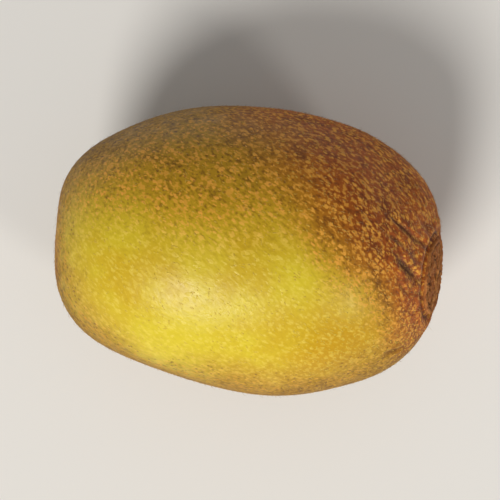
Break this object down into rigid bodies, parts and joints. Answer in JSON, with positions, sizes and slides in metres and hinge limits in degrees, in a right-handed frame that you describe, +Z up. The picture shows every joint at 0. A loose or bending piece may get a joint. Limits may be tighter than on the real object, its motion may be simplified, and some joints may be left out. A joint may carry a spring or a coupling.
{
  "type": "golden kiwi fruit",
  "caption": "Whole golden kiwi fruit with thin yellow to orange-brown skin, a corky stem scar and a dried flower end, lying on its side.",
  "frame": {"origin": "on the surface that the fruit rests on, under the middle of its body", "axes": "+X along the fruit from its blossom end to its stem end, +Z up out of the surface that it rests on"},
  "size_m": [0.07, 0.052, 0.05],
  "materials": {
    "golden_skin": "thin dry fruit skin, satin, yellow turning to orange-brown at the stem end",
    "stem_scar": "dry cork, matte, cracked",
    "flower_remains": "dried dark brown flower tips, matte",
    "lenticels": "tiny raised corky dashes in the skin, matte",
    "skin_hairs": "short fine downy hairs, soft"
  },
  "bodies": {
    "root": {"kiwi_fruit": "golden_skin"}
  },
  "joints": []
}
